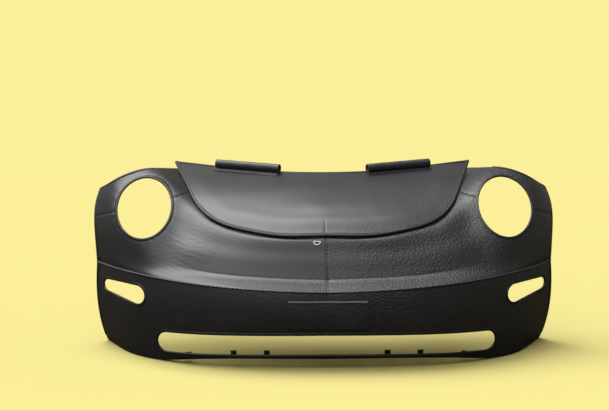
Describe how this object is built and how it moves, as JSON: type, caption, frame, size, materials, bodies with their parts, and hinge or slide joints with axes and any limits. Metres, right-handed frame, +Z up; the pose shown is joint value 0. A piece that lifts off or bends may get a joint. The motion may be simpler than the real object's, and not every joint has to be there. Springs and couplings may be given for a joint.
{
  "type": "front end cover",
  "caption": "Two-piece fitted vinyl front mask for a small round-nosed car, with openings for headlights, turn signals and grille, and soft tubes along the hood edge.",
  "frame": {"origin": "floor level, under the middle of the cover's bounding box", "axes": "+Z up, +X to the right as seen from the front, the nose faces -Y"},
  "size_m": [1.612, 0.717, 0.6375],
  "materials": {
    "vinyl": "leather grain, soft sheen",
    "binding": "smooth vinyl tape",
    "webbing": "woven",
    "plated_steel": "bright zinc plate",
    "coated_steel": "black dip coat"
  },
  "bodies": {
    "root": {"hood_panel": "vinyl", "hood_edge_binding": "binding", "hood_top_binding": "binding", "grille_binding": "binding", "plate_flap": "vinyl", "nose_seam_tape": "webbing", "bumper_seam_tape": "webbing", "centre_clip": "plated_steel", "bumper_panel_right": "vinyl", "bumper_panel_left": "vinyl", "nose_panel_right": "vinyl", "nose_panel_left": "vinyl", "fender_panel_right": "vinyl", "fender_panel_left": "vinyl", "lamp_binding_right": "binding", "lamp_binding_left": "binding", "signal_binding_right": "binding", "signal_binding_left": "binding", "fender_binding_right": "binding", "fender_binding_left": "binding", "crease_welt_right": "binding", "crease_welt_left": "binding", "tuck_flap_right": "vinyl", "tuck_flap_left": "vinyl", "hem_turn_right": "vinyl", "hem_turn_left": "vinyl", "arch_lip_right": "vinyl", "arch_lip_left": "vinyl", "corner_strap_right": "webbing", "corner_strap_left": "webbing", "deflector_flange_right": "vinyl", "deflector_flange_left": "vinyl", "arch_eyelets_right": "plated_steel", "arch_eyelets_left": "plated_steel", "hem_hooks_right": "coated_steel", "hem_hooks_left": "coated_steel", "corner_hook_right": "plated_steel", "corner_hook_left": "plated_steel", "deflector_tube_right": "vinyl", "deflector_tube_left": "vinyl"}
  },
  "joints": []
}
